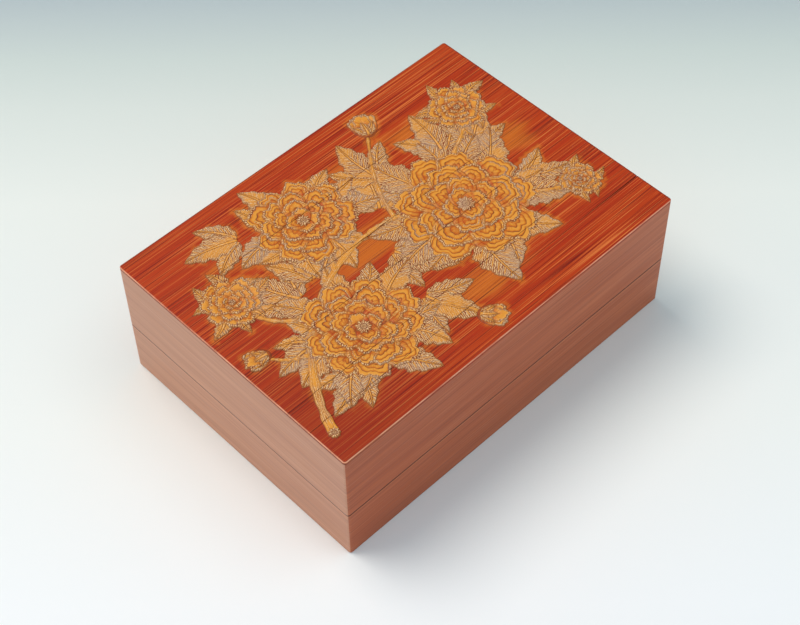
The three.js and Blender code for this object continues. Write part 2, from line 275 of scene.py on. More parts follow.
def makeFloorMaterial():
    look = floorLook
    material, tree, shader = newMaterial("paleFloor")
    azimuth = math.radians(cameraLook["azimuth"])
    away = (-math.sin(azimuth), math.cos(azimuth), 0.0)
    settings = {"operation": "DOT_PRODUCT"}
    along = addNode(tree, "ShaderNodeVectorMath", settings, n0=objectPlace(tree), n1=away).outputs["Value"]
    first = look["tones"][0][0]
    span = look["tones"][-1][0] - first
    share = calc(tree, "MULTIPLY_ADD", along, 1 / (span * mm), -first / span)
    stops = [((reach - first) / span, tone) for reach, tone in look["tones"]]
    tree.links.new(ramp(tree, share, stops), shader.inputs["Base Color"])
    shader.inputs["Roughness"].default_value = look["roughness"]
    shader.inputs["Specular IOR Level"].default_value = look["gloss"]
    return material


# Soft lamps: the window-like key stands at the back left, so the long near side is in soft shade.
lampLooks = {
    "key": {"place": (-560, 1240, 2750), "size": 2000, "power": 60.0, "tint": (1.0, 0.915, 0.845)},
    "overhead": {"place": (700, -800, 2600), "size": 1800, "power": 12.0, "tint": (0.95, 0.98, 1.0)},
}
skyLook = {"tint": (0.65, 0.93, 1.10, 1.0), "strength": 0.43}


def makeLights():
    for name, look in lampLooks.items():
        data = bpy.data.lights.new(name, "AREA")
        data.shape = "DISK"
        data.size = look["size"] * mm
        data.energy = look["power"]
        data.color = look["tint"]
        lamp = bpy.data.objects.new(name, data)
        place = Vector(look["place"]) * mm
        toBox = Vector((0, 0, boxHeight / 2 * mm)) - place
        lamp.matrix_world = Matrix.Translation(place) @ toBox.to_track_quat("-Z", "Y").to_matrix().to_4x4()
        bpy.context.scene.collection.objects.link(lamp)
    world = bpy.data.worlds.new("paleSky")
    world.use_nodes = True
    sky = world.node_tree.nodes["Background"]
    sky.inputs["Color"].default_value = skyLook["tint"]
    sky.inputs["Strength"].default_value = skyLook["strength"]
    bpy.context.scene.world = world


makeFloor()
makeLights()
bpy.context.scene.view_settings.view_transform = "Standard"
print("stage: floor and lamps are set")


# Red-brown bamboo, planed and polished. The field "grain" holds millimetres along and across the fibres.
grainStep = 300.0            # each side's grain starts this much further on
facingLooks = {
    "long": {
        "dark": colour(160, 73, 36),
        "middle": colour(180, 89, 47),
        "light": colour(199, 109, 66),
        "streak": colour(132, 58, 30),
        # pale fibre lines, and a painted highlight with wear on the base's edge
        "paleAndHighlight": colour(206, 130, 90),
        "seamShadeAndGrime": colour(98, 40, 22),
        "roughness": 0.38,
        "gloss": 0.3,
        "drift": -0.16,      # how far the tone changes from one end to the other
    },
    # paler and pinker than the long sides' same bamboo: a painted sheen
    "short": {
        "dark": colour(182, 111, 74),
        "middle": colour(195, 126, 88),
        "light": colour(207, 140, 102),
        "streak": colour(168, 96, 62),
        # pale fibre lines, and a painted highlight with wear on the base's edge
        "paleAndHighlight": colour(224, 158, 118),
        "seamShadeAndGrime": colour(136, 76, 52),
        "roughness": 0.38,
        "gloss": 1.0,
        "drift": 0.1,
    },
}


def makeFacingMaterial(kind):
    look = facingLooks[kind]
    material, tree, shader = newMaterial(f"planedBamboo_{kind}")
    grain = addNode(tree, "ShaderNodeAttribute", {"attribute_name": "grain"}).outputs["Vector"]
    fine = noise(tree, grain, (0.03, 1.7, 1.0), 3.0, 0.55)
    broad = noise(tree, grain, (0.006, 0.2, 1.0), 3.0, 0.6)
    tone = plus(tree, times(tree, fine, 0.45), times(tree, broad, 0.55))
    along = addNode(tree, "ShaderNodeSeparateXYZ", {}, Vector=grain).outputs[0]
    fromMiddle = calc(tree, "FRACT", plus(tree, calc(tree, "DIVIDE", along, grainStep), 0.5))
    fromMiddle = calc(tree, "SUBTRACT", fromMiddle, 0.5)
    tone = plus(tree, tone, times(tree, fromMiddle, look["drift"]))
    base = ramp(tree, tone, [(0.3, look["dark"]), (0.5, look["middle"]), (0.7, look["light"])])
    lines = noise(tree, grain, (0.012, 1.1, 1.0), 1.0, 0.5)
    base = blend(tree, times(tree, remap(tree, lines, 0.57, 0.7), 0.5), base, look["streak"])
    base = blend(tree, times(tree, remap(tree, lines, 0.42, 0.32), 0.3), base, look["paleAndHighlight"])
    paintedLightAndWear = readField(tree, "paintedLightAndWear")
    # paler where the field is high: a painted highlight, with wear, on the base's edge below the seam
    base = blend(tree, times(tree, remap(tree, paintedLightAndWear, 0.5, 1.0), 0.8), base, look["paleAndHighlight"])
    # darker where the field is low: painted shade, with dirt, at the seam
    base = blend(tree, times(tree, remap(tree, paintedLightAndWear, 0.4, 0.1), 0.9), base, look["seamShadeAndGrime"])
    tree.links.new(base, shader.inputs["Base Color"])
    rough = remap(tree, fine, 0.3, 0.7, look["roughness"] - 0.06, look["roughness"] + 0.08)
    tree.links.new(rough, shader.inputs["Roughness"])
    tree.links.new(bump(tree, tone, 0.03), shader.inputs["Normal"])
    shader.inputs["Specular IOR Level"].default_value = look["gloss"]
    return material


facingShape = {
    "cornerRadius": 1.5,
    "thickness": 2.0,
    "seamEase": 0.35,        # rounding of the edges beside the seam
    "footEase": 0.6,
    "topEase": 0.15,
    "seamReach": 0.05,       # how far a facing stands out into the seam
    "headReach": 0.22,       # closes the glue gap under the strips
    "wave": 0.05,            # how far the planed face strays from flat
    "waveSize": (23.0, 9.0),
    "rows": 22,
    "columns": 72,
    "edgeRows": (0.2, 0.35, 0.5),    # closer rows beside a rounded edge
    "arcSteps": 6,
    "baseShadeAndGrime": 0.16,       # depth of the painted shade and dirt at the seam, on the base and on the lid
    "lidShadeAndGrime": 0.72,
    "baseHighlight": 0.58,        # the base's edge gets a painted highlight, with wear, down to here
}


def facingLevels(bottom, top, bottomEase, topEase):  # heights and shrinks from the foot to the head
    shape = facingShape
    turns = [k / (shape["arcSteps"] - 1) * math.pi / 2 for k in range(shape["arcSteps"])]
    near, middle, far = shape["edgeRows"]
    low = bottom + bottomEase
    high = top - topEase
    levels = []
    for turn in reversed(turns):
        levels.append((bottom + bottomEase * (1 - math.sin(turn)), bottomEase * (1 - math.cos(turn))))
    levels += [(low + step, 0.0) for step in (near, middle, far)]
    for k in range(1, shape["rows"]):
        levels.append((low + far + (high - low - far - middle) * k / shape["rows"], 0.0))
    levels += [(high - middle, 0.0), (high - near, 0.0)]
    for turn in turns:
        levels.append((top - topEase * (1 - math.sin(turn)), topEase * (1 - math.cos(turn))))
    return levels


def facingStations(halfAlong, radius):  # (centre of the corner's arc or place on the straight, arc angle)
    straight = halfAlong - radius
    steps = facingShape["arcSteps"]
    columns = facingShape["columns"]
    stations = [(-straight, -math.pi / 4 * (1 - k / steps)) for k in range(steps)]
    stations += [(-straight + 2 * straight * k / columns, 0.0) for k in range(columns + 1)]
    stations += [(straight, math.pi / 4 * k / steps) for k in range(1, steps + 1)]
    return stations


def paintedLightAndWearAt(isBase, isStraight, fromTop, fromBottom):  # 0 for painted shade and dirt at the seam, 0.5 on the face, 1 for a painted highlight and wear on the base's edge
    shape = facingShape
    if isBase and fromTop < shape["baseShadeAndGrime"]:
        return 0.0
    if isBase and fromTop < shape["baseHighlight"]:
        return 1.0
    if not isBase and fromBottom < shape["lidShadeAndGrime"]:
        return 0.0
    return 0.5 if isStraight else 0.6


def sharpenEdges(piece, degrees):  # edges steeper than this stay crisp
    piece.data.set_sharp_from_angle(angle=math.radians(degrees))


def makeFacing(name, side, bottom, top, bottomEase, topEase, material, body):
    shape = facingShape
    isLong = side in ("front", "back")
    halfAlong = halfLength if isLong else halfDepth
    halfAcross = halfDepth if isLong else halfLength
    radius = shape["cornerRadius"]
    seed = 40 + sideNames.index(side)
    levels = facingLevels(bottom, top, bottomEase, topEase)
    stations = facingStations(halfAlong, radius)
    points, grain, paintedLightAndWear, faces = [], [], [], []
    for centre, angle in stations:  # dip is 0 where the planed face stands highest, 1 where it lies lowest
        inner = centre + (halfAlong - shape["thickness"] - abs(centre)) * angle / (math.pi / 4)
        travel = centre + radius * angle
        for height, shrink in levels:
            arc = radius - shrink
            dip = 1 - float(smoothNoise(np.array(travel), np.array(height), *shape["waveSize"], seed))
            calm = min(1.0, (height - bottom) / 4, (top - height) / 4, (halfAlong - abs(travel)) / 8)
            out = halfAcross - radius + arc * math.cos(angle) - shape["wave"] * dip * max(calm, 0.0)
            points.append((centre + arc * math.sin(angle), out, height))
            grain.append((travel, height, 0.0))
            paintedLightAndWear.append(paintedLightAndWearAt(body == "base", angle == 0.0, top - height, height - bottom))
        for height in (top, bottom):
            points.append((inner, halfAcross - shape["thickness"], height))
            grain.append((travel, height, shape["thickness"]))
            paintedLightAndWear.append(0.5)
    ring = len(levels) + 2
    for station in range(len(stations) - 1):
        for k in range(ring):
            here = station * ring + k
            above = station * ring + (k + 1) % ring
            faces.append((here, above, above + ring, here + ring))
    faces.append(tuple(reversed(range(ring))))
    faces.append(tuple(range((len(stations) - 1) * ring, len(stations) * ring)))

    turn = {"front": math.pi, "right": math.pi / 2, "back": 0.0, "left": -math.pi / 2}[side]
    cosTurn = math.cos(turn)
    sinTurn = math.sin(turn)
    placed = []
    for x, y, z in points:
        placed.append(((x * cosTurn + y * sinTurn) * mm, (-x * sinTurn + y * cosTurn) * mm, z * mm))
    mesh = bpy.data.meshes.new(name)
    mesh.from_pydata(placed, [], faces)
    grain = np.array(grain, dtype=float)
    grain[:, 0] += grainStep * seed
    mesh.attributes.new("grain", "FLOAT_VECTOR", "POINT").data.foreach_set("vector", grain.ravel())
    mesh.attributes.new("paintedLightAndWear", "FLOAT", "POINT").data.foreach_set("value", paintedLightAndWear)
    mesh.polygons.foreach_set("use_smooth", [True] * len(mesh.polygons))
    mesh.materials.append(material)
    mesh.validate()
    piece = bpy.data.objects.new(name, mesh)
    bpy.context.scene.collection.objects.link(piece)
    sharpenEdges(piece, 40)
    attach(piece, body)
    return piece


def makeFacings():
    materials = {kind: makeFacingMaterial(kind) for kind in facingLooks}
    shape = facingShape
    for side in sideNames:
        material = materials["long" if side in ("front", "back") else "short"]
        low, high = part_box(f"base_{side}_facing")
        sizes = (low[2] / mm, high[2] / mm + shape["seamReach"], shape["footEase"], shape["seamEase"])
        piece = makeFacing(f"baseFacing_{side}", side, *sizes, material, "base")
        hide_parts(f"base_{side}_facing")
        low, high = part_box(f"lid_{side}_facing")
        bottom = low[2] / mm - shape["seamReach"]
        top = high[2] / mm + shape["headReach"]
        sizes = (bottom, top, shape["seamEase"], shape["topEase"])
        piece = makeFacing(f"lidFacing_{side}", side, *sizes, material, "lid")
        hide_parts(f"lid_{side}_facing")


makeFacings()
print("sides: eight bamboo facings are on")


# The ornament of the top: a peony spray with leaves, buds and stems.
ornament = {
    "blooms": [              # x, y, radius, turn in degrees, leaves round it
        (36.0, -10.0, 36.0, 12.0, 13),
        (-52.0, -30.0, 30.0, 200.0, 11),
        (-28.0, 38.0, 27.0, 95.0, 11),
        (80.0, 40.0, 15.5, 40.0, 8),
        (-86.0, 24.0, 15.0, 150.0, 8),
        (88.0, -38.0, 11.0, -30.0, 6),
    ],
    "buds": [                # x, y, radius, turn
        (36.0, 61.0, 10.0, 70.0),
        (-6.0, -65.0, 9.0, -50.0),
        (-97.0, -10.0, 8.0, 170.0),
    ],
    "sprays": [              # foot x, y, length, turn, bend: three leaflets each
        (2, 14, 34, 62, 3.0),
        (18, 30, 30, 96, -3.0),
        (52, 20, 30, 74, 3.0),
        (64, 16, 28, 30, 3.0),
        (66, -16, 26, -28, 3.0),
        (-12, -4, 32, -62, 3.0),
        (-4, -6, 28, -14, -3.0),
        (-60, 0, 30, 118, -3.0),
        (-50, 4, 30, 68, 3.0),
        (-72, -22, 24, 178, 3.0),
        (-70, -44, 26, 214, -3.0),
        (-20, -34, 30, -70, 3.0),
        (-56, 50, 28, 160, 3.0),
    ],
    "stems": [               # foot, two guides, head, half width at the foot and at the head
        ((-102, -64), (-94, -34), (-60, 8), (-10, 10), 2.3, 1.3),
        ((-10, 10), (10, 10), (20, 2), (34, -6), 1.3, 1.1),
        ((-75, -17), (-64, -14), (-56, -20), (-52, -30), 1.3, 1.0),
        ((-38, 5), (-30, 18), (-28, 28), (-28, 38), 1.3, 1.0),
        ((44, 10), (60, 24), (74, 22), (80, 38), 1.2, 0.8),
        ((5, 8), (12, 34), (24, 44), (36, 61), 1.1, 0.7),
        ((-64, -9), (-78, -4), (-86, 8), (-86, 24), 1.3, 0.8),
        ((-82, -24), (-88, -22), (-93, -18), (-97, -10), 1.1, 0.7),
        ((-30, -36), (-16, -42), (-10, -52), (-6, -65), 1.1, 0.7),
        ((56, -22), (68, -30), (76, -36), (88, -38), 1.1, 0.7),
    ],
    "washes": [              # thin skin left standing: x, y, half length, half width
        (6, -50, 40, 14),
        (4, 44, 34, 14),
        (84, 4, 18, 12),
        (-66, 42, 22, 10),
        (-16, 4, 40, 14),
        (52, 46, 24, 10),
        (-84, -24, 14, 10),
    ],
    "margin": 4.0,           # kept free of leaves round the edge
    "cutStem": 2.6,          # radius of the cut end at the foot of the first stem
}
farOff = 9.0                 # stands for a distance too great to matter


def sway(seed, index):  # a small steady deviation, so that leaves and petals aren't all alike
    return math.sin(7.3 * seed + 2.39 * index)


class Carving:  # what the carver has done at each point of the top
    def __init__(self, x, y):
        self.x = x
        self.y = y
        self.relief = np.zeros(x.shape)      # 0 at the ground, 1 at the skin
        self.skin = np.zeros(x.shape)        # golden skin left on
        self.wash = np.zeros(x.shape)        # skin left in thin threads along the fibres
        self.hatch = np.zeros(x.shape)       # skin worked over with fine strokes
        self.edge = np.full(x.shape, farOff)     # distance to the nearest outline
        self.line = np.full(x.shape, farOff)     # distance to the nearest cut line
        self.stroke = x * 1.0                # distance across the strokes
        self.contour = np.zeros(x.shape)     # a line is cut wherever this passes a whole number and a half

    def window(self, cx, cy, reach):
        near = (abs(self.x - cx) < reach) & (abs(self.y - cy) < reach)
        rows = np.where(near.any(axis=1))[0]
        columns = np.where(near.any(axis=0))[0]
        if not len(rows) or not len(columns):
            return None
        return slice(rows[0], rows[-1] + 1), slice(columns[0], columns[-1] + 1)

    def lay(self, where, inside, height, skin, hatch, line, stroke, contour=0.0):
        share = smoothStep(-0.12, 0.12, inside)
        outside = np.maximum(-inside, 0)
        groove = 1 - (1 - smoothStep(0, 1.3, outside)) * 0.6 * (inside < 0)
        self.relief[where] = self.relief[where] * groove * (1 - share) + height * share
        self.skin[where] = self.skin[where] * (1 - share) + skin * share
        self.wash[where] = self.wash[where] * (1 - share)
        self.hatch[where] = self.hatch[where] * (1 - share) + hatch * share
        self.edge[where] = np.where(inside > 0, inside, np.minimum(self.edge[where], -inside))
        self.line[where] = np.where(inside > 0, line, self.line[where])
        self.stroke[where] = np.where(inside > 0, stroke, self.stroke[where])
        self.contour[where] = np.where(inside > 0, contour, self.contour[where])


def turned(carving, where, cx, cy, turn):
    dx = carving.x[where] - cx
    dy = carving.y[where] - cy
    return dx * math.cos(turn) + dy * math.sin(turn), -dx * math.sin(turn) + dy * math.cos(turn)


petalShape = {
    "rings": (               # petals, distance out, length, width as shares of the bloom, low and high
        (9, 0.66, 0.36, 0.31, 0.55, 0.80),
        (8, 0.47, 0.31, 0.276, 0.60, 0.88),
        (6, 0.29, 0.25, 0.23, 0.66, 0.94),
        (4, 0.13, 0.19, 0.1725, 0.72, 1.0),
    ),
    "ruffles": ((5, 0.07), (9, 0.045), (17, 0.03)),     # waves round the petal and how far they go
    "notch": 0.1,
    "rimWidth": 1.25,        # the hatched rim
    "lineFrom": 1.4,         # where the cut lines start, how far apart they are and how far they stray
    "lineStep": 1.75,
    "lineWander": 1.6,
    "smallest": 5.0,         # petals below this have no cut lines
    "rimCut": 0.14,          # depths of the cuts, as shares of the relief
    "lineCut": 0.12,
    "heart": 0.12,
}


def layPetal(carving, cx, cy, turn, length, width, seed, low, high):
    shape = petalShape
    where = carving.window(cx, cy, max(length, width) * 1.5)
    if where is None:
        return
    u, v = turned(carving, where, cx, cy, turn)
    x, y = carving.x[where], carving.y[where]
    angle = np.arctan2(v, u)
    radius = np.hypot(u, v)
    phases = np.random.default_rng(seed).random(3) * 6.28
    tip = smoothStep(1.9, 0.6, abs(angle))
    ruffle = 0.0
    for (waves, amount), phase in zip(shape["ruffles"], phases):
        ruffle = ruffle + amount * np.sin(waves * angle + phase)
    bound = 1 / np.sqrt((np.cos(angle) / length) ** 2 + (np.sin(angle) / width) ** 2)
    notch = shape["notch"] * np.exp(-((angle + 0.1) / 0.22) ** 2)
    calmInside = bound * (1 + 0.3 * ruffle * tip - notch) - radius
    bound = bound * (1 + ruffle * tip - notch)
    inside = bound - radius
    drift = smoothNoise(x, y, 5.0, 5.0, seed + 1) - 0.5
    rimWide = shape["rimWidth"] + 0.8 * drift
    rim = smoothStep(rimWide + 0.15, rimWide - 0.15, inside) * tip
    depth = calmInside + (inside - calmInside) * smoothStep(4.0, 0.5, inside) + 1.6 * drift
    reach = min(length, width)
    wander = smoothNoise(x, y, 8.0, 8.0, seed + 2) - 0.5
    contour = np.maximum(depth - shape["lineFrom"] + shape["lineWander"] * wander, 0) ** 0.8
    contour = contour / shape["lineStep"] * (reach > shape["smallest"])
    line = abs(inside - rimWide)
    line = np.where(tip > 0.25, line, np.minimum(line + 0.4, farOff))
    second = smoothStep(0.15, -0.15, abs(depth - 0.46 * reach) - 0.035 * reach)
    second = second * smoothStep(0.52, 0.62, smoothNoise(x, y, 9.0, 9.0, seed + 4)) * (reach > 7)
    hatch = np.clip(rim + second, 0, 1)
    rise = low + (high - low) * smoothStep(-0.6, 1.0, u / length)
    height = rise * (0.35 + 0.65 * smoothStep(0, 0.7, inside))
    height = height - shape["rimCut"] * smoothStep(0.35, 0.0, line) * (inside > 0)
    fromCut = abs(contour - np.floor(contour) - 0.5)
    height = height - shape["lineCut"] * smoothStep(0.12, 0.03, fromCut) * (contour > 0)
    streak = smoothNoise(angle * 9 + seed, radius, 1.0, 7.0, seed + 6)
    skin = 0.12 + 0.88 * smoothStep(-0.35, 0.5, u / length + 0.7 * (streak - 0.5))
    skin = np.maximum(skin, hatch)
    carving.lay(where, inside, height, skin, hatch, line, angle * bound, contour)


def layBloom(carving, cx, cy, radius, turn, seed):
    dice = np.random.default_rng(seed)
    for ring, (count, away, length, width, low, high) in enumerate(petalShape["rings"]):
        for k in dice.permutation(count):
            angle = math.radians(turn + 20 * ring + 360 * k / count + 5 * sway(seed + ring, k))
            grow = radius * (1 + 0.1 * sway(seed + ring + 3, k))
            x = cx + radius * away * math.cos(angle)
            y = cy + radius * away * math.sin(angle)
            petalSeed = seed * 100 + ring * 20 + int(k)
            layPetal(carving, x, y, angle, length * grow, width * grow, petalSeed, low, high)
    layHeart(carving, cx, cy, radius * petalShape["heart"])


def layHeart(carving, cx, cy, radius):
    where = carving.window(cx, cy, radius * 1.8)
    u, v = turned(carving, where, cx, cy, 0.0)
    angle = np.arctan2(v, u)
    away = np.hypot(u, v)
    inside = radius * (1 + 0.12 * np.sin(9 * angle)) - away
    height = 0.75 + 0.25 * smoothStep(0, 1.0, inside)
    full = np.ones(away.shape)
    carving.lay(where, inside, height, full, full, abs(away - radius * 0.45), angle * radius)


def layBud(carving, cx, cy, radius, turn, seed):
    for k, lean in enumerate((-32, 32, 0)):
        angle = math.radians(turn + lean)
        x = cx + radius * 0.35 * math.cos(angle)
        y = cy + radius * 0.35 * math.sin(angle)
        angle = math.radians(turn + lean / 2)
        layPetal(carving, x, y, angle, radius * 0.85, radius * 0.5, seed * 10 + k, 0.6, 0.9 + 0.03 * k)
    footX = cx - radius * 0.35 * math.cos(math.radians(turn))
    footY = cy - radius * 0.35 * math.sin(math.radians(turn))
    for lean in (-36, 36, 0):
        layLeaf(carving, footX, footY, radius * 0.95, radius * 0.24, turn + lean, 0.6)


leafShape = {
    "lobes": 4.5,            # along the leaf, and how deep they are
    "lobeDepth": 0.1,
    "teeth": 17,
    "toothDepth": 0.035,
    "midrib": 0.75,
    "veins": 7.5,
    "lineCut": 0.1,
    "bareness": 0.22,        # how much leaves differ in how far they are hatched
}


def layLeaf(carving, footX, footY, length, half, turn, bend):
    shape = leafShape
    angle = math.radians(turn)
    middle = (footX + math.cos(angle) * length / 2, footY + math.sin(angle) * length / 2)
    where = carving.window(*middle, length * 0.75)
    if where is None:
        return
    u, v = turned(carving, where, footX, footY, angle)
    inner = np.clip(u / length, 0.0, 1.0)
    side = v - bend * inner ** 2 * 2 + bend * u / length
    lobes = 1 + shape["lobeDepth"] * np.sin(inner * 2 * math.pi * shape["lobes"] + 0.8 * np.sign(side))
    lobes = lobes + shape["toothDepth"] * np.sin(inner * 2 * math.pi * shape["teeth"])
    wide = half * np.sin(math.pi * inner ** 0.75) ** 0.8 * lobes
    inside = np.minimum(wide - abs(side), np.minimum(u, length - u) + 0.3)
    midrib = abs(side) - shape["midrib"] * (1 - 0.8 * inner)
    pitch = length / shape["veins"]
    along = (u - abs(side) * 1.15) / pitch
    veins = abs(along - np.round(along)) * pitch * 0.66
    veins = np.where((inner > 0.02) & (along > 0.3), veins, farOff)
    thin = smoothStep(0.34, 0.16, veins) * smoothStep(0.9, 0.4, abs(side) / (wide + 0.01))
    golden = np.maximum(smoothStep(0.15, -0.1, midrib), 0.9 * thin)
    beside = np.where(golden > 0.5, farOff, abs(veins - 0.38)) + 0.12
    line = np.minimum(abs(midrib - 0.1), beside)
    dome = 1 - (abs(side) / (half * 1.3)) ** 2
    height = (0.42 + 0.3 * dome) * (0.4 + 0.6 * smoothStep(0, 0.6, inside)) + 0.16 * golden
    height = height - shape["lineCut"] * smoothStep(0.3, 0, line)
    bareness = shape["bareness"] * sway(footX + 0.6 * turn, footY)
    blotches = smoothNoise(carving.x[where], carving.y[where], 11.0, 7.0, 81)
    patch = smoothStep(0.26 + bareness, 0.5 + bareness, blotches)
    worked = (1 - golden) * (0.3 + 0.7 * np.maximum(patch, smoothStep(1.8, 0.8, inside)))
    carving.lay(where, inside, height, np.ones(u.shape), worked, line, u - abs(side) * 1.1)


def layBloomLeaves(carving, cx, cy, radius, turn, leaves, seed):
    maxX = halfLength - ornament["margin"]
    maxY = halfDepth - ornament["margin"]
    for k in np.random.default_rng(seed).permutation(leaves):
        around = turn + (k + 0.25 + 0.25 * sway(seed, k)) / leaves * 360
        angle = math.radians(around)
        length = radius * (0.77 + 0.14 * sway(seed + 1, k))
        footX = cx + radius * 0.62 * math.cos(angle)
        footY = cy + radius * 0.62 * math.sin(angle)
        lean = around + 18 * sway(seed + 2, k)
        tipX = footX + length * math.cos(math.radians(lean))
        tipY = footY + length * math.sin(math.radians(lean))
        if abs(tipX) < maxX and abs(tipY) < maxY:
            layLeaf(carving, footX, footY, length, length * 0.29, lean, 3.0 if k % 2 == 0 else -3.0)


def laySpray(carving, footX, footY, length, turn, bend):
    for lean, share in ((-42, 0.78), (40, 0.8), (0, 1.0)):
        angle = math.radians(turn + lean * 0.6)
        x = footX + 0.12 * length * math.cos(angle)
        y = footY + 0.12 * length * math.sin(angle)
        layLeaf(carving, x, y, length * share, length * share * 0.25, turn + lean, bend)


def stemPath(foot, controlA, controlB, head, steps):
    t = np.linspace(0, 1, steps)[:, None]
    a, b, c, d = (np.array(point, dtype=float) for point in (foot, controlA, controlB, head))
    return (1 - t) ** 3 * a + 3 * (1 - t) ** 2 * t * b + 3 * (1 - t) * t ** 2 * c + t ** 3 * d


def layStem(carving, foot, controlA, controlB, head, footHalf, headHalf):
    path = stemPath(foot, controlA, controlB, head, 40)
    middle = (path.min(axis=0) + path.max(axis=0)) / 2
    reach = (path.max(axis=0) - path.min(axis=0)).max() / 2 + 4
    where = carving.window(middle[0], middle[1], reach)
    x, y = carving.x[where], carving.y[where]
    nearest = np.full(x.shape, 99.0)
    along = np.zeros(x.shape)
    for k in range(len(path) - 1):
        (px, py), (qx, qy) = path[k], path[k + 1]
        t = ((x - px) * (qx - px) + (y - py) * (qy - py)) / ((qx - px) ** 2 + (qy - py) ** 2)
        t = np.clip(t, 0, 1)
        away = np.hypot(x - px - t * (qx - px), y - py - t * (qy - py))
        along = np.where(away < nearest, (k + t) / (len(path) - 1), along)
        nearest = np.minimum(away, nearest)
    knots = 1 + 0.16 * np.sin(along * 31) + 0.1 * np.sin(along * 73 + 1)
    half = (footHalf + (headHalf - footHalf) * along) * knots
    inside = half - nearest
    height = 0.5 + 0.3 * smoothStep(0, 0.8, inside)
    line = abs(nearest - half * 0.45) + 0.1
    bark = 0.55 * smoothStep(0.35, 0.6, smoothNoise(along * 60, nearest, 5.0, 1.2, 83))
    carving.lay(where, inside, height, np.ones(x.shape), bark, line, nearest * 1.6 + along * 9)


def layWash(carving, cx, cy, halfLong, halfWide):
    x, y = carving.x, carving.y
    away = np.hypot((x - cx) / halfLong, (y - cy) / halfWide)
    longStreaks = smoothNoise(x, y, 30.0, 1.6, 71)
    stain = longStreaks * 0.4 + smoothNoise(x, y, 14.0, 6.0, 73) * 0.6
    threads = longStreaks * 0.6 + smoothNoise(x, y, 12.0, 4.0, 73) * 0.4
    carving.wash = np.maximum(carving.wash, smoothStep(1.2, 0.2, away + 0.9 * (stain - 0.5)))
    carving.relief = np.maximum(carving.relief, 0.1 * smoothStep(1.2, 0.1, away + 1.2 * (threads - 0.5)))


def carveTop(x, y):
    carving = Carving(x, y)
    for wash in ornament["washes"]:
        layWash(carving, *wash)
    for spray in ornament["sprays"]:
        laySpray(carving, *spray)
    for seed, bloom in enumerate(ornament["blooms"]):
        layBloomLeaves(carving, *bloom, seed)
    for stem in ornament["stems"]:
        layStem(carving, *stem)
    layHeart(carving, *ornament["stems"][0][0], ornament["cutStem"])
    for seed, bud in enumerate(ornament["buds"]):
        layBud(carving, *bud, seed + 12)
    for seed, bloom in enumerate(ornament["blooms"]):
        layBloom(carving, *bloom[:4], seed)
    return carving


# The carved strips: red-brown ground with its fibres showing, golden skin and fine hatching.
carvedLook = {
    "groundDark": colour(120, 20, 0),
    "groundRed": colour(177, 47, 2),
    "groundOrange": colour(186, 60, 6),
    "groundLight": colour(224, 120, 54),
    "goldDeep": colour(190, 94, 24),
    "washGold": colour(208, 108, 26),
    "gold": colour(219, 133, 34),
    "goldPale": colour(230, 152, 56),
    "hatchDark": colour(128, 46, 18),
    "hatchTan": colour(184, 102, 44),
    "hatchPale": colour(230, 184, 128),
    "hatchGrey": colour(192, 154, 126),
    "highlight": colour(242, 222, 188),
    # dark cut lines and joints, and painted shadow round the forms and along the far edges
    "darkLineAndShade": colour(108, 48, 26),
    # a painted highlight along the top's near edges
    "paleAndHighlight": colour(240, 172, 134),
    "strokePitch": 1.35,
    "strokeWobble": 14.0,
    "dullPlace": (-0.105, -0.074, 0.077),    # the ground darkens towards the near corner, in metres
    "dullReach": 0.1,
    "dullShare": 0.45,
    "plainRoughness": 0.42,
    "hatchRoughness": 0.6,
    "gloss": 0.2,
}


def paintGround(tree, place, edge):  # the red ground and the tone of its fibres
    look = carvedLook
    broad = noise(tree, place, (5, 210, 1), 2.0, 0.5)
    ground = blend(tree, remap(tree, broad, 0.32, 0.68), look["groundRed"], look["groundOrange"])
    fibre = noise(tree, place, (22, 2200, 1), 2.0, 0.6)
    drifts = remap(tree, noise(tree, place, (34, 60, 1)), 0.42, 0.6)
    halo = times(tree, remap(tree, edge, 4.0, 0.3), drifts)
    wash = calc(tree, "MAXIMUM", readField(tree, "wash"), halo)
    thread = remap(tree, plus(tree, times(tree, fibre, 1.3), wash), 0.75, 1.75)
    ground = blend(tree, times(tree, thread, 0.85), ground, look["washGold"])
    darkLines = noise(tree, place, (13, 1700, 1), 2.0, 0.7)
    ground = blend(tree, times(tree, remap(tree, darkLines, 0.52, 0.64), 0.95), ground, look["groundDark"])
    lightLines = noise(tree, place, (9, 1600, 1), 2.0, 0.65)
    alongX = addNode(tree, "ShaderNodeSeparateXYZ", {}, Vector=place).outputs[0]
    spread = times(tree, remap(tree, alongX, -0.06, 0.1, 0.7, 1.0), 0.95)
    share = times(tree, remap(tree, lightLines, 0.54, 0.66), spread)
    ground = blend(tree, share, ground, look["groundLight"])
    settings = {"operation": "DISTANCE"}
    away = addNode(tree, "ShaderNodeVectorMath", settings, n0=place, n1=look["dullPlace"]).outputs["Value"]
    dull = remap(tree, away, 0.0, look["dullReach"], look["dullShare"], 0.0)
    ground = blend(tree, dull, ground, look["groundDark"])
    return ground, calc(tree, "SUBTRACT", lightLines, times(tree, darkLines, 0.6))


def paintGold(tree, place, phase):  # the plain skin, with painted shade below each cut line
    look = carvedLook
    mottle = noise(tree, place, (140, 700, 1), 3.0, 0.6)
    # painted shade on the lower part of each terrace, just past the cut line above it
    terraceShade = times(tree, remap(tree, phase, 0.02, 0.55), 0.6)
    shade = plus(tree, times(tree, mottle, 0.4), terraceShade)
    return ramp(tree, shade, [(0.2, look["goldDeep"]), (0.55, look["gold"]), (0.84, look["goldPale"])])


